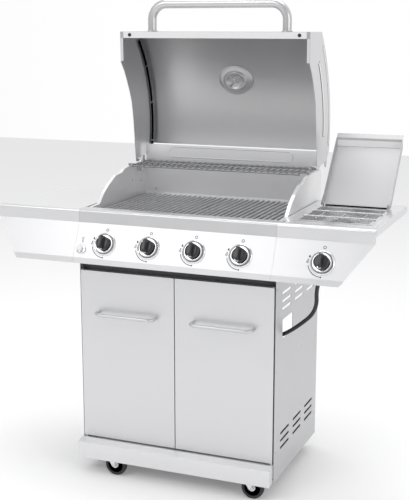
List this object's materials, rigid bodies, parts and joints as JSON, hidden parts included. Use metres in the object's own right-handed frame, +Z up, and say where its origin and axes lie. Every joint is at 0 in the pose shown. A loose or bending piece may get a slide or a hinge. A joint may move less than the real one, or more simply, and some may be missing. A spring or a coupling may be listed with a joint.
{
  "type": "gas barbecue grill",
  "caption": "Free-standing gas grill: hinged hood, ribbed cooking grates, slanted control panel with turning knobs, side shelves, side burner under a folding lid, two-door cart on casters.",
  "frame": {"origin": "on the floor, under the centre of the bounding box with both lids open", "axes": "+X to the viewer's right facing the doors, +Y to the back, +Z up"},
  "size_m": [1.3, 0.6678, 1.586],
  "materials": {
    "stainless": "brushed",
    "satin_bar": "satin",
    "plated_wire": "plated",
    "grate_steel": "satin",
    "galvanised": "satin",
    "brass": "satin",
    "black_plastic": "gloss",
    "chrome_ring": "polished",
    "zinc_fork": "satin",
    "tyre": "matte",
    "rubber": "matte"
  },
  "bodies": {
    "cart": {"base_pan": "galvanised", "bezels": "chrome_ring", "burners": "stainless", "control_panel": "stainless", "door_pins": "plated_wire", "firebox_tub": "stainless", "flame_tamers": "stainless", "front_skirt": "stainless", "grate_left": "grate_steel", "grate_right": "grate_steel", "hose": "rubber", "left_fascia": "stainless", "left_shelf": "stainless", "lid_brackets": "stainless", "manifold": "galvanised", "rear_panel": "stainless", "rear_wall": "stainless", "right_fascia": "stainless", "right_shelf": "stainless", "side_bowl": "stainless", "side_burner_head": "stainless", "side_grate": "plated_wire", "side_hinge": "plated_wire", "side_left": "stainless", "side_right": "stainless", "top_rails": "galvanised", "valves": "brass", "wall_left": "stainless", "wall_right": "stainless", "warming_rack": "plated_wire"},
    "lid": {"hood": "stainless", "lid_caps": "stainless", "lid_handle": "satin_bar", "gauge": "chrome_ring", "lid_bumpers": "rubber"},
    "side_burner_lid": {"side_lid": "stainless"},
    "left_door": {"door_left": "stainless", "handle_left": "satin_bar"},
    "right_door": {"door_right": "stainless", "handle_right": "satin_bar"},
    "igniter": {"igniter_button": "black_plastic"},
    "drip_tray": {"grease_tray": "galvanised"},
    "valve_stem_1": {"stem_1": "plated_wire"},
    "dial_1": {"knob_1": "black_plastic"},
    "valve_stem_2": {"stem_2": "plated_wire"},
    "dial_2": {"knob_2": "black_plastic"},
    "valve_stem_3": {"stem_3": "plated_wire"},
    "dial_3": {"knob_3": "black_plastic"},
    "valve_stem_4": {"stem_4": "plated_wire"},
    "dial_4": {"knob_4": "black_plastic"},
    "valve_stem_5": {"stem_5": "plated_wire"},
    "dial_5": {"knob_5": "black_plastic"},
    "caster_1": {"caster_fork_1": "zinc_fork"},
    "wheel_1": {"caster_wheel_1": "tyre"},
    "caster_2": {"caster_fork_2": "zinc_fork"},
    "wheel_2": {"caster_wheel_2": "tyre"},
    "caster_3": {"caster_fork_3": "zinc_fork"},
    "wheel_3": {"caster_wheel_3": "tyre"},
    "caster_4": {"caster_fork_4": "zinc_fork"},
    "wheel_4": {"caster_wheel_4": "tyre"}
  },
  "joints": [
    {"name": "lid_hinge", "type": "hinge", "parent": "cart", "child": "lid", "pos_m": [0, 0.1895, 1.0225], "axis": [1, 0, 0], "range_deg": [0, 88.95]},
    {"name": "side_lid_hinge", "type": "hinge", "parent": "cart", "child": "side_burner_lid", "pos_m": [0.5, 0.095, 0.919], "axis": [1, 0, 0], "range_deg": [0, 130.6]},
    {"name": "left_door_hinge", "type": "hinge", "parent": "cart", "child": "left_door", "pos_m": [-0.335, -0.256, 0.4], "axis": [0, 0, -1], "range_deg": [0, 110]},
    {"name": "right_door_hinge", "type": "hinge", "parent": "cart", "child": "right_door", "pos_m": [0.335, -0.256, 0.4], "axis": [0, 0, 1], "range_deg": [0, 110]},
    {"name": "igniter_push", "type": "slide", "parent": "cart", "child": "igniter", "axis": [0, 0.9042, -0.427], "range_m": [0, 0.004], "stiffness_N_per_m": 400},
    {"name": "drip_tray_slide", "type": "slide", "parent": "cart", "child": "drip_tray", "axis": [0, 1, 0], "range_m": [0, 0.4]},
    {"name": "knob_1_push", "type": "slide", "parent": "cart", "child": "valve_stem_1", "axis": [0, 0.9042, -0.427], "range_m": [0, 0.003], "stiffness_N_per_m": 800},
    {"name": "knob_1_turn", "type": "hinge", "parent": "valve_stem_1", "child": "dial_1", "pos_m": [-0.2355, -0.28628, 0.799], "axis": [0, -0.9042, 0.427], "range_deg": [0, 170]},
    {"name": "knob_2_push", "type": "slide", "parent": "cart", "child": "valve_stem_2", "axis": [0, 0.9042, -0.427], "range_m": [0, 0.003], "stiffness_N_per_m": 800},
    {"name": "knob_2_turn", "type": "hinge", "parent": "valve_stem_2", "child": "dial_2", "pos_m": [-0.0785, -0.28628, 0.799], "axis": [0, -0.9042, 0.427], "range_deg": [0, 170]},
    {"name": "knob_3_push", "type": "slide", "parent": "cart", "child": "valve_stem_3", "axis": [0, 0.9042, -0.427], "range_m": [0, 0.003], "stiffness_N_per_m": 800},
    {"name": "knob_3_turn", "type": "hinge", "parent": "valve_stem_3", "child": "dial_3", "pos_m": [0.0785, -0.28628, 0.799], "axis": [0, -0.9042, 0.427], "range_deg": [0, 170]},
    {"name": "knob_4_push", "type": "slide", "parent": "cart", "child": "valve_stem_4", "axis": [0, 0.9042, -0.427], "range_m": [0, 0.003], "stiffness_N_per_m": 800},
    {"name": "knob_4_turn", "type": "hinge", "parent": "valve_stem_4", "child": "dial_4", "pos_m": [0.2355, -0.28628, 0.799], "axis": [0, -0.9042, 0.427], "range_deg": [0, 170]},
    {"name": "knob_5_push", "type": "slide", "parent": "cart", "child": "valve_stem_5", "axis": [0, 0.9042, -0.427], "range_m": [0, 0.003], "stiffness_N_per_m": 800},
    {"name": "knob_5_turn", "type": "hinge", "parent": "valve_stem_5", "child": "dial_5", "pos_m": [0.498, -0.28628, 0.799], "axis": [0, -0.9042, 0.427], "range_deg": [0, 170]},
    {"name": "caster_1_swivel", "type": "hinge", "parent": "cart", "child": "caster_1", "pos_m": [-0.246, -0.285, 0.08], "axis": [0, 0, 1], "range_deg": [0, 180]},
    {"name": "wheel_1_roll", "type": "hinge", "parent": "caster_1", "child": "wheel_1", "pos_m": [-0.208, -0.285, 0.038], "axis": [0, 1, 0], "continuous": true},
    {"name": "caster_2_swivel", "type": "hinge", "parent": "cart", "child": "caster_2", "pos_m": [0.246, -0.285, 0.08], "axis": [0, 0, 1], "range_deg": [0, 180]},
    {"name": "wheel_2_roll", "type": "hinge", "parent": "caster_2", "child": "wheel_2", "pos_m": [0.284, -0.285, 0.038], "axis": [0, 1, 0], "continuous": true},
    {"name": "caster_3_swivel", "type": "hinge", "parent": "cart", "child": "caster_3", "pos_m": [-0.246, 0.17, 0.08], "axis": [0, 0, 1], "continuous": true},
    {"name": "wheel_3_roll", "type": "hinge", "parent": "caster_3", "child": "wheel_3", "pos_m": [-0.208, 0.17, 0.038], "axis": [0, 1, 0], "continuous": true},
    {"name": "caster_4_swivel", "type": "hinge", "parent": "cart", "child": "caster_4", "pos_m": [0.246, 0.17, 0.08], "axis": [0, 0, 1], "continuous": true},
    {"name": "wheel_4_roll", "type": "hinge", "parent": "caster_4", "child": "wheel_4", "pos_m": [0.284, 0.17, 0.038], "axis": [0, 1, 0], "continuous": true}
  ]
}
